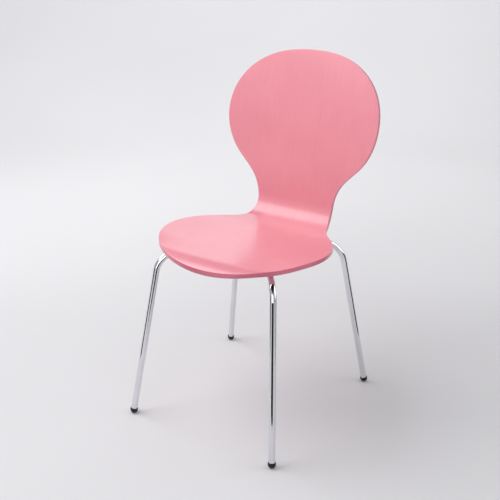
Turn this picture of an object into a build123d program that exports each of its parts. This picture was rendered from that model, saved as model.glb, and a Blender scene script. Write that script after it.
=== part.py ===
from build123d import *
import os
from math import cos, radians, sin, tan

# Stacking chair: a one-piece bent plywood shell on a chromed tube frame.
# Millimetres. +Z is up, the sitter faces -Y, and the origin is on the floor
# at the centre of the chair's overall footprint.

os.makedirs("parts", exist_ok=True)

# ---------------------------------------------------------------- driving sizes
SHELL_THICKNESS = 11.0
SEAT_SLOPE = 1.2            # degrees the seat falls towards the back
LIP_Y = -234.4              # upper face of the seat's front lip, on the middle line
LIP_Z = 435.8
LIP_LENGTH = 49.0           # waterfall at the front
LIP_DROOP = 31.2            # degrees that the waterfall turns down
SEAT_LENGTH = 319.0         # flat run of the seat
BEND_LENGTH = 80.0          # round from seat to back
NECK_LEAN = 3.7             # back's lean from upright just above the bend
TOP_LEAN = 18.7             # back's lean at the top
BACK_LENGTH = 388.2
SEAT_DISH = 0.0005          # curvature across the seat, 1/mm
BACK_DISH = 0.0005          # curvature across the back, 1/mm
DISH_IN = 120.0             # length over which the seat's dish grows from the lip
DISH_OUT = 90.0             # length over which it fades out before the bend
DISH_OUT_START = 70.0       # the fade starts this far before the bend
BACK_DISH_START = 20.0      # the back's dish starts this far above the bend
BACK_DISH_IN = 200.0        # length over which it grows

# Right half of the flat blank: (distance from the middle, length from the lip).
HALF_OUTLINE = [
    (98, 18),
    (188, 86),
    (221, 174),
    (202, 257),
    (144, 337),
    (112, 416),
    (128, 496),
    (185, 561),
    (218, 653),
    (199, 740),
    (123, 812),
]
LIP_TIP = 1.0               # where the blank's outline crosses the middle line
SHEET_HALF = 240.0          # uncut sheet, half width
SHEET_SECTIONS = 9
SHEET_MARGIN = 8.0
PROFILE_POINTS = 61
CUT_ABOVE = 14.0            # reach of the trimming band above and below the sheet
CUT_BELOW = 24.0
CUT_ARCS = 4
CUT_STEPS = 24

TUBE_R = 8.0
TUBE_WALL = 1.5
RUN_HEIGHT = 421.4          # tube axis below the seat, at Y = 0
FRONT_FOOT = (208.0, -258.4)
REAR_FOOT = (222.7, 205.0)
FRONT_LEAN_TO = 69.5        # each leg leans towards this point of the middle line
REAR_LEAN_TO = 41.5
FRONT_SPLAY = 0.207         # lean, sideways travel per height
REAR_SPLAY = 0.202
FRONT_APEX_Y = -4.7         # where the front tube's two arms would meet
REAR_APEX_Y = -11.7
FRONT_KNEE_R = 55.0
REAR_KNEE_R = 77.0
APEX_R = 24.0

PLATE_Y = -8.5              # centre of the mounting plate and the cover
PLATE_R = 60.0
PLATE_T = 2.0
PAD_R = 54.0
PAD_STOCK = 4.0
SCREW_CIRCLE_R = 45.0
SCREW_COUNT = 4
SCREW_R = 3.0
SCREW_HOLE_R = 3.3
SCREW_REACH = 8.0           # screw length inside the shell
HEAD_R = 5.75
HEAD_H = 3.8
SOCKET_R = 2.3
SOCKET_DEPTH = 2.2
WASHER_R = 7.0
WASHER_T = 1.4
INSERT_R = 4.6
INSERT_LENGTH = 7.6
INSERT_RECESS = 2.0         # insert's mouth above the plate

COVER_RIM_R = 63.0
COVER_FLOOR_R = 56.0
COVER_WALL = 2.0
COVER_DROP = 13.0           # cover's outer floor below the tube axis
COVER_ROUND = 6.0
COVER_LIP = 3.4
COVER_LIP_T = 0.9
TUBE_GAP = 0.6

BUFFER_LENGTH = 26.0
BUFFER_R = 11.5
BUFFER_FROM_KNEE = 62.0
BUFFER_STOCK = 17.0         # block height above the tube axis before trimming
BUFFER_SKIRT = 4.0          # how far the buffer wraps below the tube axis

CAP_R = 9.7                 # also the radius of its round bottom
CAP_H = 13.6
CAP_RIM_ROUND = 0.8
CAP_STOCK = 0.3             # depth of the round bottom that the floor cuts off
CAP_FLOOR = 4.5
CAP_FIT = 0.05
PLUG_H = 18.0

WELD_R = 2.4
WELD_OFFSET = 5.4
WELD_DROP = 2.0
WELD_START = 30.0
WELD_LENGTH = 26.0
CROSS_WELD_LENGTH = 16.0
CROSS_WELD_R = 3.0
CROSS_WELD_DROP = 6.4

# ---------------------------------------------------------------- shell geometry
BEND_START = LIP_LENGTH + SEAT_LENGTH
BEND_END = BEND_START + BEND_LENGTH
BLANK_LENGTH = BEND_END + BACK_LENGTH
# Middle line of the upper face: length, angle at its start, angle at its end.
STRETCHES = [
    (LIP_LENGTH, LIP_DROOP - SEAT_SLOPE, -SEAT_SLOPE),
    (SEAT_LENGTH, -SEAT_SLOPE, -SEAT_SLOPE),
    (BEND_LENGTH, -SEAT_SLOPE, 90 - NECK_LEAN),
    (BACK_LENGTH, 90 - NECK_LEAN, 90 - TOP_LEAN),
]


def ease(t):
    """Smooth step from 0 to 1."""
    t = min(max(t, 0), 1)
    return t * t * (3 - 2 * t)


def dish(s):
    """Curvature across the shell, s mm along the blank."""
    grow = ease(s / DISH_IN)
    fade = 1 - ease((s - BEND_START + DISH_OUT_START) / DISH_OUT)
    back = ease((s - BEND_END - BACK_DISH_START) / BACK_DISH_IN)
    return SEAT_DISH * grow * fade + BACK_DISH * back


def middle_line(s):
    """Y, Z and slope angle of the upper face, s mm along the blank from the lip."""
    y, z, left = LIP_Y, LIP_Z, s
    for index, (length, start, end) in enumerate(STRETCHES):
        is_last = index == len(STRETCHES) - 1
        run = left if is_last else min(left, length)
        angle = radians(start)
        rate = radians(end - start) / length
        if rate:
            y += (sin(angle + rate * run) - sin(angle)) / rate
            z += (cos(angle) - cos(angle + rate * run)) / rate
        else:
            y += run * cos(angle)
            z += run * sin(angle)
        angle += rate * run
        left -= run
        if left <= 0:
            break
    return y, z, angle


def bent(x, s, above=0.0):
    """Place in space of the flat blank's point (x, s), raised by above mm."""
    y, z, angle = middle_line(s)
    lift = dish(s) * x * x / 2 + above
    return Vector(x, y - sin(angle) * lift, z + cos(angle) * lift)


def on_rim(x, s, above):
    """Place above mm over the outline's point (x, s), along the cut of the rim.

    The rim is cut square to the sheet, but the waterfall's is cut square to the seat.
    """
    angle = middle_line(max(s, LIP_LENGTH))[2]
    return bent(x, s) + Vector(0, -sin(angle), cos(angle)) * above


def section_curve(x, above):
    """Profile of the sheet in the plane at x, as (Y, Z) points."""
    step = (BLANK_LENGTH + 2 * SHEET_MARGIN) / (PROFILE_POINTS - 1)
    places = [bent(x, -SHEET_MARGIN + i * step, above) for i in range(PROFILE_POINTS)]
    return [(place.Y, place.Z) for place in places]


# ---------------------------------------------------------------- seat shell
with BuildPart() as sheet:
    for i in range(SHEET_SECTIONS):
        x = -SHEET_HALF + 2 * SHEET_HALF * i / (SHEET_SECTIONS - 1)
        top_points = section_curve(x, 0)
        under_points = section_curve(x, -SHELL_THICKNESS)
        with BuildSketch(Plane.YZ.offset(x)):
            with BuildLine():
                Spline(*top_points)
                Spline(*under_points)
                Line(top_points[0], under_points[0])
                Line(top_points[-1], under_points[-1])
            make_face()
    loft()

mirrored = [(-x, s) for x, s in reversed(HALF_OUTLINE)]
outline_points = [(0, LIP_TIP), *HALF_OUTLINE, (0, BLANK_LENGTH), *mirrored]
with BuildLine() as flat_outline:
    Spline(*outline_points, periodic=True)

# The cutting band follows the outline and trims the sheet to the blank.
outline_edge = flat_outline.line.edges()[0]
band_faces = []
for arc in range(CUT_ARCS):
    rails = []
    for above in (CUT_ABOVE, -CUT_BELOW):
        rail = []
        for i in range(CUT_STEPS + 1):
            flat = outline_edge @ (((arc + i / CUT_STEPS) / CUT_ARCS) % 1)
            rail.append(on_rim(flat.X, flat.Y, above))
        rails.append(Edge.make_spline(rail))
    band_faces.append(Face.make_surface_from_curves(*rails))
offcuts = sheet.part.split(Shell(band_faces), keep=Keep.ALL)
blank = offcuts.sort_by(lambda piece: piece.bounding_box().size.X)[0]

# ---------------------------------------------------------------- frame geometry
SLOPE = tan(radians(SEAT_SLOPE))


def run_plane(y):
    """Plane of the tube axes under the seat, with its origin at (0, y)."""
    tilt = radians(SEAT_SLOPE)
    return Plane(
        origin=(0, y, RUN_HEIGHT - SLOPE * y),
        x_dir=(1, 0, 0),
        z_dir=(0, sin(tilt), cos(tilt)),
    )


def leg_direction(foot, lean_to, splay, side):
    """Unit vector up the leg whose foot stands on the given side."""
    inward = Vector(-side * foot[0], lean_to - foot[1], 0).normalized()
    return (inward * splay + Vector(0, 0, 1)).normalized()


def knee_point(foot, lean_to, splay, side):
    """Where the leg's axis meets the plane of the arms."""
    up = leg_direction(foot, lean_to, splay, side)
    rise = (RUN_HEIGHT - SLOPE * foot[1]) / (up.Z + SLOPE * up.Y)
    return Vector(side * foot[0], foot[1], 0) + up * rise


def apex_point(y):
    return Vector(0, y, RUN_HEIGHT - SLOPE * y)


LEGS = {
    "front": (FRONT_FOOT, FRONT_LEAN_TO, FRONT_SPLAY, FRONT_APEX_Y, FRONT_KNEE_R),
    "rear": (REAR_FOOT, REAR_LEAN_TO, REAR_SPLAY, REAR_APEX_Y, REAR_KNEE_R),
}
SIDES = {"left": -1, "right": 1}


def tube_path(end):
    """Axis of one bent tube: foot, knee, apex, knee, foot."""
    foot, lean_to, splay, apex_y, knee_r = LEGS[end]
    ends = []
    for side in SIDES.values():
        up = leg_direction(foot, lean_to, splay, side)
        start = Vector(side * foot[0], foot[1], 0) + up * (CAP_FLOOR + CAP_FIT)
        ends.append([start, knee_point(foot, lean_to, splay, side)])
    left, right = ends
    points = [left[0], left[1], apex_point(apex_y), right[1], right[0]]
    return FilletPolyline(*points, radius=[knee_r, APEX_R, knee_r], mode=Mode.PRIVATE)


def tube_rod(end, radius):
    """Solid rod along one bent tube's axis."""
    path = tube_path(end)
    with BuildPart() as rod:
        with BuildSketch(Plane(origin=path @ 0, z_dir=path % 0)):
            Circle(radius)
        sweep(path=path)
    return rod.part


# ---------------------------------------------------------------- leg tubes
tubes = {}
rods = {}
for end in LEGS:
    path = tube_path(end)
    with BuildPart() as leg_tube:
        with BuildSketch(Plane(origin=path @ 0, z_dir=path % 0)):
            Circle(TUBE_R)
            Circle(TUBE_R - TUBE_WALL, mode=Mode.SUBTRACT)
        sweep(path=path)
    leg_tube.part.label = f"{end}_leg_tube"
    export_step(leg_tube.part, f"parts/{end}_leg_tube.step")
    tubes[end] = leg_tube.part
    rods[end] = tube_rod(end, TUBE_R)

# ---------------------------------------------------------------- plate and fixings
hub = run_plane(PLATE_Y)
plate_under = hub.offset(TUBE_R)
plate_top = hub.offset(TUBE_R + PLATE_T)

insert_mouth = plate_top.offset(INSERT_RECESS)
with BuildPart() as threaded_inserts:
    with BuildSketch(insert_mouth):
        with PolarLocations(SCREW_CIRCLE_R, SCREW_COUNT):
            Circle(INSERT_R)
            Circle(SCREW_R, mode=Mode.SUBTRACT)
    extrude(amount=INSERT_LENGTH)
threaded_inserts.part.label = "threaded_inserts"
export_step(threaded_inserts.part, "parts/threaded_inserts.step")

with BuildPart() as seat_shell:
    add(blank)
    with BuildSketch(plate_top):
        with PolarLocations(SCREW_CIRCLE_R, SCREW_COUNT):
            Circle(INSERT_R)
    extrude(amount=INSERT_RECESS + INSERT_LENGTH, mode=Mode.SUBTRACT)
seat_shell.part.label = "seat_shell"
export_step(seat_shell.part, "parts/seat_shell.step")

with BuildPart() as mounting_plate:
    with BuildSketch(plate_under):
        Circle(PLATE_R)
        with PolarLocations(SCREW_CIRCLE_R, SCREW_COUNT):
            Circle(SCREW_HOLE_R, mode=Mode.SUBTRACT)
    extrude(amount=PLATE_T)
mounting_plate.part.label = "mounting_plate"
export_step(mounting_plate.part, "parts/mounting_plate.step")

with BuildPart() as levelling_pad:
    with BuildSketch(plate_top):
        Circle(PAD_R)
        with PolarLocations(SCREW_CIRCLE_R, SCREW_COUNT):
            Circle(INSERT_R, mode=Mode.SUBTRACT)
    extrude(amount=PAD_STOCK)
    add(blank, mode=Mode.SUBTRACT)
levelling_pad.part.label = "levelling_pad"
export_step(levelling_pad.part, "parts/levelling_pad.step")

with BuildPart() as screw_washers:
    with BuildSketch(plate_under):
        with PolarLocations(SCREW_CIRCLE_R, SCREW_COUNT):
            Circle(WASHER_R)
            Circle(SCREW_HOLE_R, mode=Mode.SUBTRACT)
    extrude(amount=-WASHER_T)
screw_washers.part.label = "screw_washers"
export_step(screw_washers.part, "parts/screw_washers.step")

with BuildPart() as mounting_screws:
    head_seat = plate_under.offset(-WASHER_T)
    with BuildSketch(head_seat):
        with PolarLocations(SCREW_CIRCLE_R, SCREW_COUNT):
            Circle(HEAD_R)
    extrude(amount=-HEAD_H)
    head_rims = mounting_screws.edges().group_by(Axis.Z)[0]
    fillet(head_rims, HEAD_H / 3)
    with BuildSketch(head_seat.offset(-HEAD_H)):
        with PolarLocations(SCREW_CIRCLE_R, SCREW_COUNT):
            RegularPolygon(SOCKET_R, 6)
    extrude(amount=SOCKET_DEPTH, mode=Mode.SUBTRACT)
    with BuildSketch(head_seat):
        with PolarLocations(SCREW_CIRCLE_R, SCREW_COUNT):
            Circle(SCREW_R)
    extrude(amount=WASHER_T + PLATE_T + SCREW_REACH)
mounting_screws.part.label = "mounting_screws"
export_step(mounting_screws.part, "parts/mounting_screws.step")

# ---------------------------------------------------------------- welds
def arm_plane(end, side, start):
    """Plane square to one arm, start mm from the apex, with its X axis upwards."""
    foot, lean_to, splay, apex_y, knee_r = LEGS[end]
    apex = apex_point(apex_y)
    along = (knee_point(foot, lean_to, splay, side) - apex).normalized()
    return Plane(origin=apex + along * start, x_dir=hub.z_dir, z_dir=along)


with BuildPart() as plate_welds:
    for end in LEGS:
        for side in SIDES.values():
            with BuildSketch(arm_plane(end, side, WELD_START)):
                with Locations((TUBE_R - WELD_DROP, WELD_OFFSET), (TUBE_R - WELD_DROP, -WELD_OFFSET)):
                    Circle(WELD_R)
                Circle(TUBE_R, mode=Mode.SUBTRACT)
                with Locations((TUBE_R, 0)):
                    Rectangle(
                        TUBE_R,
                        2 * TUBE_R,
                        align=(Align.MIN, Align.CENTER),
                        mode=Mode.SUBTRACT,
                    )
            extrude(amount=WELD_LENGTH)
plate_welds.part.label = "plate_welds"
export_step(plate_welds.part, "parts/plate_welds.step")

with BuildPart() as crossing_weld:
    weld_origin = hub.origin + Vector(-CROSS_WELD_LENGTH / 2, 0, 0) - hub.z_dir * CROSS_WELD_DROP
    with BuildSketch(Plane(origin=weld_origin, z_dir=(1, 0, 0))):
        Circle(CROSS_WELD_R)
    extrude(amount=CROSS_WELD_LENGTH)
    for rod in rods.values():
        add(rod, mode=Mode.SUBTRACT)
crossing_weld.part.label = "crossing_weld"
export_step(crossing_weld.part, "parts/crossing_weld.step")

# ---------------------------------------------------------------- centre cover
with BuildPart() as centre_cover:
    rim_height = TUBE_R + PLATE_T + COVER_LIP_T
    with BuildSketch(Plane(origin=hub.origin, x_dir=(1, 0, 0), z_dir=hub.y_dir * -1)):
        with BuildLine():
            Polyline(
                (0, -COVER_DROP),
                (COVER_FLOOR_R, -COVER_DROP),
                (COVER_RIM_R, 0),
                (COVER_RIM_R, rim_height),
                (COVER_RIM_R - COVER_LIP, rim_height),
                (COVER_RIM_R - COVER_LIP, rim_height - COVER_LIP_T),
                (COVER_RIM_R - COVER_WALL, rim_height - COVER_LIP_T),
                (COVER_RIM_R - COVER_WALL, 0),
                (COVER_FLOOR_R - COVER_WALL, COVER_WALL - COVER_DROP),
                (0, COVER_WALL - COVER_DROP),
                close=True,
            )
        make_face()
    revolve(axis=Axis(hub.origin, hub.z_dir))
    floor_rim = centre_cover.edges().filter_by(GeomType.CIRCLE).group_by(Axis.Z)[0]
    fillet(floor_rim, COVER_ROUND)
    for end in LEGS:
        for side in SIDES.values():
            with BuildSketch(arm_plane(end, side, 0)):
                Circle(TUBE_R + TUBE_GAP)
                Rectangle(
                    2 * rim_height,
                    2 * (TUBE_R + TUBE_GAP),
                    align=(Align.MIN, Align.CENTER),
                )
            extrude(amount=2 * COVER_RIM_R, mode=Mode.SUBTRACT)
centre_cover.part.label = "centre_cover"
export_step(centre_cover.part, "parts/centre_cover.step")

# ---------------------------------------------------------------- buffers and foot caps
for end in LEGS:
    foot, lean_to, splay, apex_y, knee_r = LEGS[end]
    for side_name, side in SIDES.items():
        knee = knee_point(foot, lean_to, splay, side)
        inward = (apex_point(apex_y) - knee).normalized()
        place = knee + inward * BUFFER_FROM_KNEE
        saddle = Plane(origin=place, x_dir=hub.z_dir, z_dir=inward)
        with BuildPart() as buffer:
            with BuildSketch(saddle.offset(-BUFFER_LENGTH / 2)):
                Circle(BUFFER_R)
                Rectangle(
                    BUFFER_STOCK,
                    2 * BUFFER_R,
                    align=(Align.MIN, Align.CENTER),
                )
                with Locations((-BUFFER_SKIRT, 0)):
                    Rectangle(
                        BUFFER_R,
                        2 * BUFFER_R,
                        align=(Align.MAX, Align.CENTER),
                        mode=Mode.SUBTRACT,
                    )
            extrude(amount=BUFFER_LENGTH)
            add(rods[end], mode=Mode.SUBTRACT)
            add(blank, mode=Mode.SUBTRACT)
        name = f"buffer_{end}_{side_name}"
        buffer.part.label = name
        export_step(buffer.part, f"parts/{name}.step")

        up = leg_direction(foot, lean_to, splay, side)
        ankle = Plane(origin=(side * foot[0], foot[1], 0), z_dir=up)
        plug_r = TUBE_R - TUBE_WALL - CAP_FIT
        with BuildPart() as foot_cap:
            with BuildSketch(Plane(origin=ankle.origin, x_dir=ankle.x_dir, z_dir=-ankle.y_dir)):
                with BuildLine():
                    CenterArc(
                        (0, CAP_R - CAP_STOCK),
                        CAP_R,
                        start_angle=-90,
                        arc_size=90,
                    )
                    Line((CAP_R, CAP_R - CAP_STOCK), (CAP_R, CAP_H - CAP_RIM_ROUND))
                    RadiusArc(
                        (CAP_R, CAP_H - CAP_RIM_ROUND),
                        (CAP_R - CAP_RIM_ROUND, CAP_H),
                        -CAP_RIM_ROUND,
                    )
                    Line((CAP_R - CAP_RIM_ROUND, CAP_H), (TUBE_R + CAP_FIT, CAP_H))
                    Line((TUBE_R + CAP_FIT, CAP_H), (TUBE_R + CAP_FIT, CAP_FLOOR))
                    Line((TUBE_R + CAP_FIT, CAP_FLOOR), (plug_r, CAP_FLOOR))
                    Line((plug_r, CAP_FLOOR), (plug_r, PLUG_H))
                    Line((plug_r, PLUG_H), (0, PLUG_H))
                    Line((0, PLUG_H), (0, -CAP_STOCK))
                make_face()
            revolve(axis=Axis(ankle.origin, up))
            split(bisect_by=Plane.XY)
        name = f"foot_cap_{end}_{side_name}"
        foot_cap.part.label = name
        export_step(foot_cap.part, f"parts/{name}.step")
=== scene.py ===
# %% [markdown]
# # A stacking chair
#
# The chair is one bent plywood shell on two bent chrome tubes, which meet back to back under
# the middle of the seat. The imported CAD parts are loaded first, and they fix every size and
# place. What shows from close by is then modelled again as finer meshes: the shell, the
# tubes, the feet and the buffers. The hidden fixings stay as the CAD made them and only get
# a finish.

# %% load the frame
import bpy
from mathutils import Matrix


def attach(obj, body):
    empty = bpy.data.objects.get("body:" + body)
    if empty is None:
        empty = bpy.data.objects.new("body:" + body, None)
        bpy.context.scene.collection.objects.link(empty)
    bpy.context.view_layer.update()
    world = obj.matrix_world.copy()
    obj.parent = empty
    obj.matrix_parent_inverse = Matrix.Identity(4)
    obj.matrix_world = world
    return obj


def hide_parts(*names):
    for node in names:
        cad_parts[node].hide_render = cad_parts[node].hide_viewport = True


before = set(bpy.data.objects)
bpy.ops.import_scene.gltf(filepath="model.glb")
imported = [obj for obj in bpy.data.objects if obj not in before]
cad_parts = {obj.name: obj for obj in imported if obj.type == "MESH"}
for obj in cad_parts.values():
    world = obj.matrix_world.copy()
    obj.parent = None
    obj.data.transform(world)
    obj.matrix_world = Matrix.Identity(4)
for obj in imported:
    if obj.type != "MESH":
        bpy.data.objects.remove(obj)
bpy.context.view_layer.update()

# %% tools for the whole lesson
from math import cos, pi, radians, sin, tan

import bmesh
import bpy
import numpy as np
from mathutils import Matrix, Vector

MM = 0.001                          # the CAD's millimetres in metres

# %% [markdown]
# ## Small helpers
#
# Every step starts with nothing selected, because an operator acts on all that is selected.
# Faces and edges are then picked in code by where they are. A finished piece has its place
# in its mesh, so its object is left at the origin, unturned and unscaled.


# %% selecting and finishing
def clear():
    """Back to object mode with nothing selected."""
    if bpy.context.mode != "OBJECT":
        bpy.ops.object.mode_set(mode="OBJECT")
    bpy.ops.object.select_all(action="DESELECT")


def edit(kind="VERT"):
    """Edit mode on the active piece, with nothing selected in it."""
    bpy.ops.object.mode_set(mode="EDIT")
    bpy.ops.mesh.select_mode(type=kind)
    bpy.ops.mesh.select_all(action="DESELECT")


def pick(kind, test):
    """Selects the verts, edges or faces of the mesh being edited that pass a test."""
    mesh = bpy.context.object.data
    work = bmesh.from_edit_mesh(mesh)
    for item in getattr(work, kind):
        item.select_set(bool(test(item)))
    work.select_flush_mode()
    bmesh.update_edit_mesh(mesh)


def settle(name):
    """Names the active piece and puts its place into its mesh."""
    piece = bpy.context.object
    bpy.ops.object.mode_set(mode="OBJECT")
    bpy.ops.object.transform_apply(location=True, rotation=True, scale=True)
    piece.name = name
    piece.data.name = name
    return piece


def modify(piece, kind, **settings):
    """Adds a modifier and applies it at once."""
    clear()
    piece.select_set(True)
    bpy.context.view_layer.objects.active = piece
    modifier = piece.modifiers.new(kind.lower(), kind)
    for key, value in settings.items():
        setattr(modifier, key, value)
    bpy.ops.object.modifier_apply(modifier=modifier.name)


def smooth(piece, angle=35):
    """Smooth shading with the sharp corners kept."""
    clear()
    piece.select_set(True)
    bpy.context.view_layer.objects.active = piece
    bpy.ops.object.shade_smooth_by_angle(angle=radians(angle))


def finish_piece(piece, material, slot, *nodes):
    """Gives a piece its material, hangs it under the root and hides the CAD nodes it replaces."""
    piece.data.materials.clear()
    piece.data.materials.append(material)
    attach(piece, "root")
    if nodes:
        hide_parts(*nodes)
    size = piece.dimensions / MM
    measured = f"{size.x:.0f} x {size.y:.0f} x {size.z:.0f} mm"
    print(f"{piece.name}: {len(piece.data.polygons)} faces, {measured}")


# %% [markdown]
# ## Writing materials
#
# A colour is written as the hex value a paint chart would give and turned to the linear
# numbers that light works in. One function adds any node with its settings and its links,
# so each material below reads as a list of nodes.


# %% colours and nodes
def colour(hex_code):
    """Linear colour from an sRGB hex value."""
    parts = [int(hex_code[i:i + 2], 16) / 255 for i in (1, 3, 5)]
    return (*[p / 12.92 if p <= 0.04045 else ((p + 0.055) / 1.055) ** 2.4 for p in parts], 1.0)


def new_material(name):
    """A material with an empty surface shader, and that shader."""
    material = bpy.data.materials.new(name)
    material.use_nodes = True
    return material, material.node_tree.nodes["Principled BSDF"]


def add_node(material, kind, settings=None, **links):
    """A node with its settings; a link names an input and gives a value or a socket."""
    node = material.node_tree.nodes.new(kind)
    for key, value in (settings or {}).items():
        setattr(node, key, value)
    connect(material, node, **links)
    return node


def connect(material, node, **links):
    """Sets a node's inputs: Base_Color=... stands for the input named Base Color."""
    for key, value in links.items():
        name = key.replace("_", " ")
        socket = node.inputs[int(name[1:])] if name[1:].isdigit() else node.inputs[name]
        if isinstance(value, bpy.types.NodeSocket):
            material.node_tree.links.new(value, socket)
        else:
            socket.default_value = value


def ramp(material, factor, *stops):
    """A colour ramp through (position, hex) stops."""
    node = add_node(material, "ShaderNodeValToRGB", Fac=factor)
    elements = node.color_ramp.elements
    while len(elements) < len(stops):
        elements.new(0.5)
    for element, (position, hex_code) in zip(elements, stops):
        element.position = position
        element.color = colour(hex_code)
    return node.outputs["Color"]


# %% [markdown]
# ## Stained and lacquered birch plywood
#
# The shell is a stack of birch veneers, stained rose pink and sprayed with a satin clear
# lacquer. The stain sinks in a little unevenly, so fine darker streaks run along the grain.
# The lacquer gives a soft second reflection over the colour. The cut edge shows the plies as
# thin lines, and it is painted darker, as painted shade. The grain follows the bend, so the
# pattern reads the shell's own flat map; the ply lines read the depth below the upper face.

# %% plywood material
GRAIN_ACROSS = 1.6 * MM             # spacing of the grain streaks, drawn a little coarse
GRAIN_ALONG = 90 * MM
BLOTCH = 140 * MM                   # size of the cloudy stain patches
PLY = 1.4                           # one veneer, mm
SHELL_THICKNESS = 11.0              # mm
FACE_VENEER = 0.4                   # mm at each face that keeps the face's colour


def stained_plywood():
    """Grain on the flat faces and ply lines round the cut rim."""
    material, surface = new_material("stained_birch_plywood")
    flat = add_node(material, "ShaderNodeUVMap", {"uv_map": "blank"}).outputs["UV"]
    stretched = add_node(
        material, "ShaderNodeMapping", Vector=flat, Scale=(1 / GRAIN_ACROSS, 1 / GRAIN_ALONG, 1)
    ).outputs["Vector"]
    streaks = add_node(
        material, "ShaderNodeTexNoise", Vector=stretched, Scale=1.0, Detail=5.0, Roughness=0.65
    ).outputs["Fac"]
    patches = add_node(
        material, "ShaderNodeTexNoise", Vector=flat, Scale=1 / BLOTCH, Detail=2.0
    ).outputs["Fac"]
    grain = ramp(material, streaks, (0.30, "#E68896"), (0.52, "#EB909D"), (0.75, "#EE96A2"))
    cloud = ramp(material, patches, (0.35, "#FBF7F8"), (0.65, "#FFFFFF"))
    face = add_node(
        material, "ShaderNodeMix", {"data_type": "RGBA", "blend_type": "MULTIPLY"},
        Factor=1.0, _6=grain, _7=cloud
    ).outputs[2]

    depth = add_node(material, "ShaderNodeAttribute", {"attribute_name": "depth"}).outputs["Fac"]
    plies = add_node(
        material, "ShaderNodeMath", {"operation": "MULTIPLY"}, _0=depth, _1=pi / PLY
    ).outputs[0]
    wave = add_node(material, "ShaderNodeMath", {"operation": "SINE"}, _0=plies).outputs[0]
    wave = add_node(
        material, "ShaderNodeMath", {"operation": "MULTIPLY_ADD"}, _0=wave, _1=0.5, _2=0.5
    ).outputs[0]
    # The rim's darker pinks are painted shade; the ply lines in them are the plywood's own.
    edge = ramp(material, wave, (0.2, "#BE5A6F"), (0.8, "#CF6F84"))
    inside = add_node(
        material, "ShaderNodeMath", {"operation": "COMPARE"},
        _0=depth, _1=SHELL_THICKNESS / 2, _2=SHELL_THICKNESS / 2 - FACE_VENEER
    ).outputs[0]
    paint = add_node(
        material, "ShaderNodeMix", {"data_type": "RGBA"}, Factor=inside, _6=face, _7=edge
    ).outputs[2]
    bump = add_node(
        material, "ShaderNodeBump", Strength=0.05, Distance=0.0003, Height=streaks
    ).outputs["Normal"]
    connect(
        material, surface, Base_Color=paint, Normal=bump, Roughness=0.42, IOR=1.5,
        Coat_Weight=1.0, Coat_Roughness=0.2, Coat_IOR=1.5,
    )
    return material


PLYWOOD = stained_plywood()
print(PLYWOOD.name, len(PLYWOOD.node_tree.nodes), "nodes")

# %% [markdown]
# ## Bright chrome on steel tube
#
# The tubes are polished, plated with nickel and then with bright chrome. Chrome is a slightly
# blue mirror: nearly all that is seen on it is the room. Handling leaves a faint haze in
# patches, which is drawn as a small change of roughness and tone.

# %% chrome material
HAZE = 60 * MM


def metal(name, dark, light, rough_low, rough_high, size):
    """A metal whose tone and roughness drift over patches of the given size."""
    material, surface = new_material(name)
    place = add_node(material, "ShaderNodeTexCoord").outputs["Object"]
    drift = add_node(
        material, "ShaderNodeTexNoise", Vector=place, Scale=1 / size, Detail=4.0
    ).outputs["Fac"]
    rough = add_node(
        material, "ShaderNodeMapRange", Value=drift, To_Min=rough_low, To_Max=rough_high
    ).outputs["Result"]
    tone = ramp(material, drift, (0.3, dark), (0.7, light))
    connect(material, surface, Base_Color=tone, Metallic=1.0, Roughness=rough)
    return material


CHROME = metal("bright_chrome_plating", "#DCDEE2", "#E6E7EA", 0.03, 0.09, HAZE)
ZINC = metal("zinc_plated_steel", "#A9A9A4", "#C4C3BC", 0.25, 0.4, 3 * MM)
WELD = metal("chromed_weld_bead", "#9A9CA0", "#C2C4C8", 0.18, 0.45, 1.5 * MM)
print("metals", [m.name for m in (CHROME, ZINC, WELD)])

# %% [markdown]
# ## Moulded plastics, rubber and painted steel
#
# The feet are black polyamide, moulded in a polished tool, so they have a tight highlight.
# The buffers are a clear, greyish soft plastic. The cover under the seat is textured grey
# polypropylene. The plate is powder coated, with a fine orange-peel skin. Each one is a base
# colour that drifts a little and a bump of the size of its own texture.

# %% plastic materials
ORANGE_PEEL = 1.2 * MM
MOULD_GRAIN = 0.6 * MM
FLOW_MARKS = 9 * MM


def moulded(name, dark, light, roughness, grain, bump_height, **more):
    """A moulded or coated finish with a fine skin texture."""
    material, surface = new_material(name)
    place = add_node(material, "ShaderNodeTexCoord").outputs["Object"]
    flow = add_node(
        material, "ShaderNodeTexNoise", Vector=place, Scale=1 / FLOW_MARKS, Detail=3.0
    ).outputs["Fac"]
    skin = add_node(
        material, "ShaderNodeTexNoise", Vector=place, Scale=1 / grain, Detail=2.0
    ).outputs["Fac"]
    bump = add_node(
        material, "ShaderNodeBump", Strength=0.4, Distance=bump_height, Height=skin
    ).outputs["Normal"]
    tone = ramp(material, flow, (0.35, dark), (0.65, light))
    connect(material, surface, Base_Color=tone, Normal=bump, Roughness=roughness, **more)
    return material


FOOT_PLASTIC = moulded(
    "black_polyamide", "#020203", "#050506", 0.12, MOULD_GRAIN, 0.00001, IOR=1.46
)
COVER_PLASTIC = moulded(
    "grey_polypropylene", "#6F7276", "#7B7E82", 0.55, MOULD_GRAIN, 0.00008, IOR=1.49
)
BUFFER_PLASTIC = moulded(
    "clear_grey_soft_vinyl", "#C9CCD0", "#D8DADD", 0.3, MOULD_GRAIN, 0.00003,
    IOR=1.52, Transmission_Weight=0.35,
)
POWDER_COAT = moulded(
    "black_powder_coat", "#141416", "#1C1C1F", 0.4, ORANGE_PEEL, 0.0001, IOR=1.5
)
RUBBER = moulded("black_foam_rubber", "#1D1D1D", "#282828", 0.85, ORANGE_PEEL, 0.0002, IOR=1.5)
print("plastics", [m.name for m in (FOOT_PLASTIC, COVER_PLASTIC, BUFFER_PLASTIC)])

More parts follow.
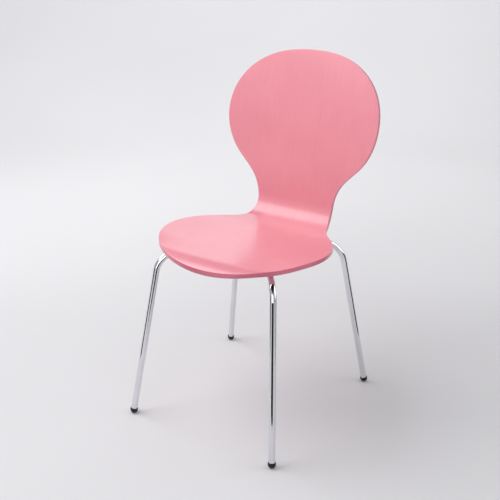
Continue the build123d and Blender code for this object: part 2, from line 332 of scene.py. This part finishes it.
# %% [markdown]
# ## The shell, flat
#
# On the real chair the veneers are glued up over a form, pressed into the bend, and then
# routed to the outline. Here the order is turned round: the outline is drawn on a flat sheet,
# the sheet gets its thickness and its rounded rim, and it is bent last. That keeps the quads
# even, and the flat places of the points give the grain its direction. The sheet could also
# be cut from a big rectangle with a boolean, but a grid that is fitted between the four
# sides of the outline has no ragged edge.

# %% sizes of the shell
LIP_Y = -234.4                      # upper face of the front lip on the middle line, mm
LIP_Z = 435.8
SEAT_SLOPE = 1.2                    # degrees the seat falls towards the back
# Middle line of the upper face: length, slope at its start, slope at its end.
STRETCHES = [
    (49.0, 31.2 - SEAT_SLOPE, -SEAT_SLOPE),     # waterfall
    (319.0, -SEAT_SLOPE, -SEAT_SLOPE),          # seat
    (80.0, -SEAT_SLOPE, 86.3),                  # bend
    (388.2, 86.3, 71.3),                        # back
]
BEND_START = sum(stretch[0] for stretch in STRETCHES[:2])
BEND_END = sum(stretch[0] for stretch in STRETCHES[:3])
BLANK_LENGTH = sum(stretch[0] for stretch in STRETCHES)
DISH = 0.0005                       # curvature across the shell, 1/mm
DISH_IN = 120.0                     # length over which the seat's hollow grows from the lip
DISH_OUT = 90.0                     # length over which it fades out before the bend
DISH_OUT_START = 70.0               # the fade starts this far before the bend
BACK_DISH_START = 20.0              # the back's hollow starts this far above the bend
BACK_DISH_IN = 200.0                # length over which it grows

# Right half of the flat blank: distance from the middle, length from the lip.
HALF_OUTLINE = [
    (98, 18),
    (188, 86),
    (221, 174),
    (202, 257),
    (144, 337),
    (112, 416),
    (128, 496),
    (185, 561),
    (218, 653),
    (199, 740),
    (123, 812),
]
LIP_TIP = 1.0                       # where the outline crosses the middle line at the lip
OUTLINE_POINTS = 4800


# %% the outline as one smooth closed line
def closed_spline(points, count):
    """count points along the smooth closed curve through the given ones."""
    points = np.array(points, float)
    ahead = np.roll(points, -1, 0) - points
    length = np.linalg.norm(ahead, axis=1)
    before = np.roll(length, 1)
    size = len(points)
    system = np.zeros((size, size))
    pull = np.zeros((size, 2))
    for i in range(size):
        system[i, i - 1] += length[i]
        system[i, i] += 2 * (length[i] + before[i])
        system[i, (i + 1) % size] += before[i]
        pull[i] = 3 * (length[i] * ahead[i - 1] / before[i] + before[i] * ahead[i] / length[i])
    slopes = np.linalg.solve(system, pull)
    line = []
    for i in range(size):
        t = np.linspace(0, 1, count // size, endpoint=False)[:, None]
        j = (i + 1) % size
        line.append(
            (2 * t**3 - 3 * t**2 + 1) * points[i]
            + (t**3 - 2 * t**2 + t) * slopes[i] * length[i]
            + (3 * t**2 - 2 * t**3) * points[j]
            + (t**3 - t**2) * slopes[j] * length[i]
        )
    return np.vstack(line)


mirrored = [(-x, s) for x, s in reversed(HALF_OUTLINE)]
outline = closed_spline(
    [(0, LIP_TIP), *HALF_OUTLINE, (0, BLANK_LENGTH), *mirrored], OUTLINE_POINTS
)
outline = np.vstack([outline, outline[:1]])
travelled = np.concatenate([[0], np.cumsum(np.linalg.norm(np.diff(outline, axis=0), axis=1))])
print(f"outline {travelled[-1]:.0f} mm round, {2 * outline[:, 0].max():.1f} mm wide")


def along(share):
    """Point of the outline at a share of its length, from the front lip."""
    place = (np.asarray(share) % 1) * travelled[-1]
    return np.stack([np.interp(place, travelled, outline[:, k]) for k in (0, 1)], -1)


# %% a grid fitted inside the outline
ACROSS = 76                         # quads across the blank
ALONG = 230                         # quads along it
LOW_CORNER = 0.067                  # where the grid's corners meet the outline
HIGH_CORNER = 0.423

clear()
bpy.ops.mesh.primitive_grid_add(x_subdivisions=ACROSS, y_subdivisions=ALONG, size=1)
shell = bpy.context.object
grid = np.array([vertex.co for vertex in shell.data.vertices]) + 0.5
u, v = grid[:, 0], grid[:, 1]


def between(start, end, t):
    """Point at a share t of the way from start to end."""
    return start + (end - start) * t


front = along(between(-LOW_CORNER, LOW_CORNER, u))
top = along(between(1 - HIGH_CORNER, HIGH_CORNER, u))
left = along(between(-LOW_CORNER, -HIGH_CORNER, v))
right = along(between(LOW_CORNER, HIGH_CORNER, v))
corners = [along(share) for share in (-LOW_CORNER, LOW_CORNER, -HIGH_CORNER, HIGH_CORNER)]
u, v = u[:, None], v[:, None]
sides = between(front, top, v) + between(left, right, u)
bilinear = between(between(corners[0], corners[1], u), between(corners[2], corners[3], u), v)
flat = sides - bilinear
shell.data.vertices.foreach_set(
    "co", (np.column_stack([flat, np.zeros(len(flat))]) * MM).ravel()
)
shell.data.update()
print(f"grid of {len(shell.data.polygons)} quads")

# %% thickness and rounded rim
RIM_ROUND = 1.4 * MM

settle("bent_shell")
modify(shell, "SOLIDIFY", thickness=SHELL_THICKNESS * MM, offset=-1)
modify(
    shell, "BEVEL", width=RIM_ROUND, segments=4, limit_method="ANGLE",
    angle_limit=radians(60), use_clamp_overlap=False,
)
blank = np.array([vertex.co for vertex in shell.data.vertices]) / MM
print(f"sheet {np.ptp(blank[:, 2]):.1f} mm thick, {len(shell.data.polygons)} faces")

# %% [markdown]
# ## The shell, bent
#
# A press closes on the veneers and they take the form's curve: a short waterfall at the
# front, a flat seat, a tight bend and a back that leans away as it rises. Both the seat and
# the back are hollowed slightly from side to side, and that hollow fades out at the bend,
# because a sheet can't curve both ways there. Blender's own Simple Deform bends one even arc,
# so the places are worked out here from the lengths and angles of the four stretches.


# %% bending the sheet
def ease(t):
    """Smooth step from 0 to 1."""
    t = np.clip(t, 0, 1)
    return t * t * (3 - 2 * t)


def dish(s):
    """Curvature across the shell, s mm along the blank."""
    seat = ease(s / DISH_IN) * (1 - ease((s - BEND_START + DISH_OUT_START) / DISH_OUT))
    back = ease((s - BEND_END - BACK_DISH_START) / BACK_DISH_IN)
    return DISH * (seat + back)


def middle_line(s):
    """Y, Z and slope angle of the upper face, s mm along the blank."""
    y = np.full(s.shape, LIP_Y)
    z = np.full(s.shape, LIP_Z)
    turn = np.full(s.shape, radians(STRETCHES[0][1]))
    begin = 0.0
    for length, start, end in STRETCHES:
        run = np.clip(s - begin, 0 if begin else None, length)
        rate = radians(end - start) / length
        angle = radians(start)
        if rate:
            y += (np.sin(angle + rate * run) - sin(angle)) / rate
            z += (cos(angle) - np.cos(angle + rate * run)) / rate
        else:
            y += run * cos(angle)
            z += run * sin(angle)
        turn = np.where(s >= begin, angle + rate * run, turn)
        begin += length
    return y, z, turn


def bent(x, s, above):
    """Place in space, in mm, of the flat blank's points.

    The waterfall's rim is cut square to the seat, so its under side reaches further forward.
    """
    droop = np.clip(middle_line(s)[2] + radians(SEAT_SLOPE), 0, None)
    s = s + above * np.tan(np.where(s < STRETCHES[0][0], droop, 0))
    y, z, angle = middle_line(s)
    lift = dish(s) * x * x / 2 + above
    return np.column_stack([x, y - np.sin(angle) * lift, z + np.cos(angle) * lift])


flat_map = shell.data.uv_layers.new(name="blank")
corner_of = np.empty(len(shell.data.loops), int)
shell.data.loops.foreach_get("vertex_index", corner_of)
flat_map.data.foreach_set("uv", (blank[corner_of, :2] * MM).ravel())
depth = shell.data.attributes.new("depth", "FLOAT", "POINT")
depth.data.foreach_set("value", -blank[:, 2])
shaped = bent(blank[:, 0], blank[:, 1], blank[:, 2]) * MM
shell.data.vertices.foreach_set("co", shaped.ravel())
shell.data.update()
smooth(shell, 50)
finish_piece(shell, PLYWOOD, "stained_plywood", "seat_shell")

# %% [markdown]
# ## The bent tubes
#
# Each pair of legs is one length of 16 mm steel tube, bent cold: up one leg, round a knee,
# along under the seat to the middle, round a tight bend there, and back the same way on the
# other side. A curve with a round bevel would do it too. Here a circle is extruded along each
# straight and spun round each bend, which is what a tube bender does.

# %% sizes of the frame
TUBE_R = 8 * MM
TUBE_WALL = 1.5 * MM
RUN_HEIGHT = 421.4 * MM             # axis of the arms under the seat, above the origin
SLOPE = tan(radians(SEAT_SLOPE))
CAP_FLOOR = 4.6 * MM                # the tube's end stands this high in its foot
APEX_R = 24 * MM
ROUND_SIDES = 40
BEND_STEPS = {"knee": 22, "apex": 12}
SPIN_SIGN = -1                      # the spin operator turns against the right-hand rule
# foot, point of the middle line the legs lean to, lean, where the arms would meet, knee bend
LEGS = {
    "front": (Vector((0.208, -0.2584, 0)), 0.0695, 0.207, -0.0047, 55 * MM),
    "rear": (Vector((0.2227, 0.205, 0)), 0.0415, 0.202, -0.0117, 77 * MM),
}
SIDES = {"left": -1, "right": 1}


def leg_line(end, side):
    """Foot point and upward direction of one leg."""
    foot, lean_to, splay = LEGS[end][:3]
    stand = Vector((side * foot.x, foot.y, 0))
    inward = (Vector((0, lean_to, 0)) - stand).normalized()
    return stand, (inward * splay + Vector((0, 0, 1))).normalized()


def on_run(y):
    """Point of the middle line at the height of the arms."""
    return Vector((0, y, RUN_HEIGHT - SLOPE * y))


def knee_of(end, side):
    """Where a leg's axis meets the plane of the arms."""
    stand, up = leg_line(end, side)
    return stand + up * ((RUN_HEIGHT - SLOPE * stand.y) / (up.z + SLOPE * up.y))


# %% extruding and spinning a tube
def turn_at(before, corner, after, radius):
    """Start, end, centre, axis and angle of the round bend at a corner."""
    back = (before - corner).normalized()
    ahead = (after - corner).normalized()
    half = back.angle(ahead) / 2
    reach = radius / tan(half)
    centre = corner + (back + ahead).normalized() * (radius / sin(half))
    start = corner + back * reach
    end = corner + ahead * reach
    return start, end, centre, (start - centre).cross(end - centre).normalized(), pi - 2 * half


def bend_tube(end):
    """One pair of legs as a tube with a real wall."""
    feet = []
    for side in SIDES.values():
        stand, up = leg_line(end, side)
        feet.append(stand + up * CAP_FLOOR)
    knees = [knee_of(end, side) for side in SIDES.values()]
    apex_y, knee_r = LEGS[end][3:]
    apex = on_run(apex_y)
    corners = [
        (feet[0], knees[0], apex, knee_r, "knee"),
        (knees[0], apex, knees[1], APEX_R, "apex"),
        (apex, knees[1], feet[1], knee_r, "knee"),
    ]
    clear()
    direction = (knees[0] - feet[0]).normalized()
    bpy.ops.mesh.primitive_circle_add(
        vertices=ROUND_SIDES, radius=TUBE_R, fill_type="NOTHING", location=feet[0],
        rotation=direction.to_track_quat("Z", "X").to_euler(),
    )
    settle(f"{end}_legs_tube")
    edit("EDGE")
    bpy.ops.mesh.select_all(action="SELECT")
    here = feet[0]
    for before, corner, after, radius, kind in corners:
        start, stop, centre, axis, angle = turn_at(before, corner, after, radius)
        bpy.ops.mesh.extrude_region_move(TRANSFORM_OT_translate={"value": start - here})
        bpy.ops.mesh.spin(steps=BEND_STEPS[kind], angle=SPIN_SIGN * angle, center=centre, axis=axis)
        here = stop
    bpy.ops.mesh.extrude_region_move(TRANSFORM_OT_translate={"value": feet[1] - here})
    bpy.ops.mesh.select_all(action="SELECT")
    bpy.ops.mesh.remove_doubles(threshold=0.01 * MM)
    bpy.ops.mesh.normals_make_consistent(inside=False)
    tube = settle(f"{end}_legs_tube")
    modify(tube, "SOLIDIFY", thickness=TUBE_WALL, offset=-1)
    smooth(tube)
    finish_piece(tube, CHROME, "chromed_steel", f"{end}_leg_tube")


for end in LEGS:
    bend_tube(end)

# %% [markdown]
# ## Feet
#
# A black plastic cup is pushed over the end of each leg. It is a turned shape: straight at
# the top, then rounded in to a small sole, with a plug that goes up inside the tube. Revolving
# a drawn profile would make it; here a disc is extruded and resized from ring to ring, as
# clay is pulled up on a wheel. The leg leans, so the sole is cut level with the floor.

# %% foot caps
CAP_R = 9.7                         # also the radius of the round bottom
CAP_SOLE_R = 0.4                    # the profile starts this far from the axis
CAP_H = 13.6
CAP_STOCK = 0.3                     # depth of the round bottom that the floor cuts off
CAP_RIM = 0.8                       # round of the upper rim
CAP_BASE = 4.5                      # height of the floor of the socket
BORE_R = 8.05
BORE_LEAD = 0.3                     # chamfer where the tube enters
PLUG_R = 6.4
PLUG_H = 18.0
ARC_STEPS = 9


def arc(centre, across, up, start, stop):
    """Points (radius, height) of a quarter of an ellipse, angles in degrees."""
    angles = [radians(start + (stop - start) * i / ARC_STEPS) for i in range(ARC_STEPS + 1)]
    return [(centre[0] + across * cos(a), centre[1] + up * sin(a)) for a in angles]


CAP_PROFILE = [
    *arc((CAP_SOLE_R, CAP_R - CAP_STOCK), CAP_R - CAP_SOLE_R, CAP_R, -90, 0),
    *arc((CAP_R - CAP_RIM, CAP_H - CAP_RIM), CAP_RIM, CAP_RIM, 0, 90),
    (BORE_R + BORE_LEAD, CAP_H),
    (BORE_R, CAP_H - BORE_LEAD),
    (BORE_R, CAP_BASE),
    (PLUG_R, CAP_BASE),
    (PLUG_R, PLUG_H),
]


def turned(name, profile):
    """A turned solid from (radius, height) rings in mm, standing on the origin."""
    clear()
    radius, height = profile[0]
    bpy.ops.mesh.primitive_circle_add(
        vertices=ROUND_SIDES, radius=radius * MM, fill_type="NGON", location=(0, 0, height * MM)
    )
    settle(name)
    edit("FACE")
    bpy.ops.mesh.select_all(action="SELECT")
    for next_radius, next_height in profile[1:]:
        rise = (next_height - height) * MM
        bpy.ops.mesh.extrude_region_move(TRANSFORM_OT_translate={"value": (0, 0, rise)})
        scale = next_radius / radius
        bpy.ops.transform.resize(value=(scale, scale, 1), center_override=(0, 0, next_height * MM))
        radius, height = next_radius, next_height
    bpy.ops.mesh.select_all(action="SELECT")
    bpy.ops.mesh.normals_make_consistent(inside=False)
    return settle(name)


def place_upright(piece, origin, up):
    """Stands a turned piece on a point with its axis along a direction."""
    clear()
    piece.select_set(True)
    bpy.context.view_layer.objects.active = piece
    turn = up.to_track_quat("Z", "X").to_matrix().to_4x4()
    piece.matrix_world = Matrix.Translation(origin) @ turn
    return settle(piece.name)


for end in LEGS:
    for side_name, side in SIDES.items():
        stand, up = leg_line(end, side)
        cap = place_upright(turned(f"foot_{end}_{side_name}", CAP_PROFILE), stand, up)
        edit("FACE")
        bpy.ops.mesh.select_all(action="SELECT")
        bpy.ops.mesh.bisect(
            plane_co=(0, 0, 0), plane_no=(0, 0, 1), use_fill=True, clear_inner=True
        )
        cap = settle(cap.name)
        smooth(cap, 40)
        finish_piece(cap, FOOT_PLASTIC, "black_plastic", f"foot_cap_{end}_{side_name}")

# %% [markdown]
# ## Buffers and the centre cover
#
# Between each arm and the seat sits a clear plastic saddle, clipped over the tube, that takes
# the load and keeps stacked chairs apart. A moulded cover hides the plate, the screws and the
# place where the tubes meet. The saddles' exact shapes come from the CAD parts, so each is a
# copy of one, joined up into a clean mesh, whose sharp edges then get the small round that
# every moulding has. The cover stays as the CAD made it.

# %% softened copies
SADDLE_ROUND = 0.8                  # mm


def softened(name, node, width, material, slot):
    """A clean copy of a CAD node with its edges rounded by width, in mm."""
    clear()
    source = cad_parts[node]
    piece = bpy.data.objects.new(name, source.data.copy())
    bpy.context.scene.collection.objects.link(piece)
    piece.select_set(True)
    bpy.context.view_layer.objects.active = piece
    bpy.ops.mesh.customdata_custom_splitnormals_clear()
    edit("VERT")
    bpy.ops.mesh.select_all(action="SELECT")
    bpy.ops.mesh.remove_doubles(threshold=0.02 * MM)
    bpy.ops.mesh.dissolve_limited(angle_limit=radians(1.0))
    bpy.ops.mesh.select_all(action="SELECT")
    bpy.ops.mesh.normals_make_consistent(inside=False)
    piece = settle(name)
    modify(
        piece, "BEVEL", width=width * MM, segments=3, limit_method="ANGLE",
        angle_limit=radians(50),
    )
    smooth(piece, 40)
    finish_piece(piece, material, slot, node)


for end in LEGS:
    for side_name in SIDES:
        softened(
            f"saddle_{end}_{side_name}", f"buffer_{end}_{side_name}", SADDLE_ROUND,
            BUFFER_PLASTIC, "clear_grey_plastic",
        )

# %% finishes for the fixings that stay as the CAD made them
CAD_FINISHES = {
    "centre_cover": COVER_PLASTIC,
    "mounting_plate": POWDER_COAT,
    "levelling_pad": RUBBER,
    "plate_welds": WELD,
    "crossing_weld": WELD,
    "threaded_inserts": ZINC,
    "mounting_screws": ZINC,
    "screw_washers": ZINC,
}
for node, material in CAD_FINISHES.items():
    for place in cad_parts[node].material_slots:
        place.material = material
print("finished", len(CAD_FINISHES), "CAD nodes")

# %% [markdown]
# ## Studio
#
# The floor is one pale paper sweep that rises all round, so the camera sees no horizon. The
# lamps are set for that camera: seen from behind the chair, the paper wall is darker than the
# floor. The pale room gives about a third of the light, evenly. A big soft panel high on the
# left is the key, with weaker ones in front and at the right to open the shade. One more
# lights the paper wall, and a faint one behind the chair lays a sheen on the seat. Fewer lamps
# would do, but then the seat or the paper would be too dark. A mirror finish needs something
# dark to show its shape, so black cards stand where only reflections can see them.

# %% floor and walls
FLAT_R = 2.8                        # flat part of the floor, m
SWEEP_R = 2.4                       # radius of the rise to the wall
WALL_TOP = 2.6
SWEEP_STEPS = 16
SWEEP_SIDES = 128


def pale_paper():
    """Matt paper whose tone drifts very slightly."""
    material, surface = new_material("pale_paper")
    place = add_node(material, "ShaderNodeTexCoord").outputs["Object"]
    fibre = add_node(
        material, "ShaderNodeTexNoise", Vector=place, Scale=0.8, Detail=2.0
    ).outputs["Fac"]
    tone = ramp(material, fibre, (0.3, "#D3D3D5"), (0.7, "#D6D6D8"))
    connect(material, surface, Base_Color=tone, Roughness=0.8)
    return material


def sweep():
    """A flat disc whose edge is drawn out and up in a quarter circle, then straight up."""
    clear()
    bpy.ops.mesh.primitive_circle_add(vertices=SWEEP_SIDES, radius=FLAT_R, fill_type="NGON")
    floor = settle("paper_sweep")
    edit("EDGE")
    bpy.ops.mesh.select_all(action="SELECT")
    radius, height = FLAT_R, 0.0
    for i in range(1, SWEEP_STEPS + 1):
        angle = pi / 2 * i / SWEEP_STEPS
        next_radius = FLAT_R + SWEEP_R * sin(angle)
        next_height = SWEEP_R * (1 - cos(angle))
        pick("edges", lambda edge: edge.is_boundary)
        bpy.ops.mesh.extrude_edges_move(
            TRANSFORM_OT_translate={"value": (0, 0, next_height - height)}
        )
        scale = next_radius / radius
        bpy.ops.transform.resize(value=(scale, scale, 1), center_override=(0, 0, next_height))
        radius, height = next_radius, next_height
    pick("edges", lambda edge: edge.is_boundary)
    bpy.ops.mesh.extrude_edges_move(TRANSFORM_OT_translate={"value": (0, 0, WALL_TOP - height)})
    floor = settle("paper_sweep")
    smooth(floor, 60)
    floor.data.materials.append(pale_paper())
    print("sweep", len(floor.data.polygons), "faces")


sweep()

# %% lights
# Name, place, point it faces, width and height in metres, watts.
PANELS = [
    ("key_panel", (-1.7, -0.7, 2.6), (0.0, 0.0, 0.4), (2.4, 2.4), 64),
    ("front_panel", (0.9, -3.0, 1.2), (0.0, 0.0, 0.5), (3.0, 2.0), 26),
    ("side_panel", (2.4, 1.4, 1.3), (0.0, 0.0, 0.2), (2.0, 2.0), 19),
    ("wall_panel", (-0.7, 1.2, 3.3), (-2.9, 4.4, 2.2), (2.4, 1.2), 94),
    ("behind_panel", (-1.75, 2.7, 1.9), (0.0, 0.0, 0.45), (2.2, 0.9), 4.5),
]
ROOM_COLOUR = "#F2F1F4"
ROOM_LIGHT = 0.59                   # strength of the even light from all round

for name, place, aim, size, power in PANELS:
    light = bpy.data.lights.new(name, "AREA")
    light.shape = "RECTANGLE"
    light.size, light.size_y = size
    light.energy = power
    holder = bpy.data.objects.new(name, light)
    bpy.context.scene.collection.objects.link(holder)
    away = Vector(place) - Vector(aim)
    holder.location = place
    holder.rotation_euler = away.to_track_quat("Z", "Y").to_euler()

world = bpy.data.worlds.new("pale_room")
world.use_nodes = True
room = world.node_tree.nodes["Background"]
room.inputs["Color"].default_value = colour(ROOM_COLOUR)
room.inputs["Strength"].default_value = ROOM_LIGHT
bpy.context.scene.world = world
print(len(PANELS), "soft panels and the room")

# %% black cards
# Name, place, width and height in metres, turn about Z and tilt from flat in degrees.
CARDS = [
    ("card_front", (0.40, -0.74, 0.20), (0.62, 0.4), 21, 90),
    ("card_left", (-0.58, -0.75, 0.20), (0.42, 0.4), -37, 90),
    ("card_right", (0.62, 0.335, 0.20), (0.36, 0.4), 108, 90),
    ("card_above", (0.0, 0.0, 3.4), (7.0, 7.0), 0, 0),
]
CARD, card_surface = new_material("black_card")
connect(CARD, card_surface, Base_Color=colour("#050505"), Roughness=0.9)

for name, place, size, turn, tilt in CARDS:
    clear()
    bpy.ops.mesh.primitive_plane_add(
        size=1, location=place, rotation=(radians(tilt), 0, radians(turn))
    )
    bpy.context.object.scale = (*size, 1)
    piece = settle(name)
    piece.data.materials.append(CARD)
    for ray in ("camera", "diffuse", "shadow", "transmission", "volume_scatter"):
        setattr(piece, f"visible_{ray}", False)
print(len(CARDS), "black cards")

# %% [markdown]
# ## Camera
#
# The camera stands to the sitter's left front, a little above the back's height, and looks
# down at the seat. Its direction is written as two angles, because these are what a tripod
# head is set to.

# %% camera
CAMERA_PLACE = (0.9521, -1.4954, 1.1061)
AZIMUTH = radians(33.01)
ELEVATION = radians(21.52)
SENSOR = 36.0                       # mm
LENS = 54.89
NEAREST = 0.05                      # nothing closer than this is drawn

back = Vector((sin(AZIMUTH) * cos(ELEVATION), -cos(AZIMUTH) * cos(ELEVATION), sin(ELEVATION)))
across = Vector((cos(AZIMUTH), sin(AZIMUTH), 0))
upward = back.cross(across)
camera = bpy.data.objects.new("camera", bpy.data.cameras.new("camera"))
camera.data.lens = LENS
camera.data.sensor_width = SENSOR
camera.data.clip_start = NEAREST
bpy.context.scene.collection.objects.link(camera)
facing = Matrix((across, upward, back)).transposed().to_4x4()
camera.matrix_world = Matrix.Translation(CAMERA_PLACE) @ facing
bpy.context.scene.camera = camera
bpy.context.scene.view_settings.view_transform = "Standard"
print("camera", CAMERA_PLACE, "lens", LENS)

# %% [markdown]
# ## Finish

# %% the last line
clear()
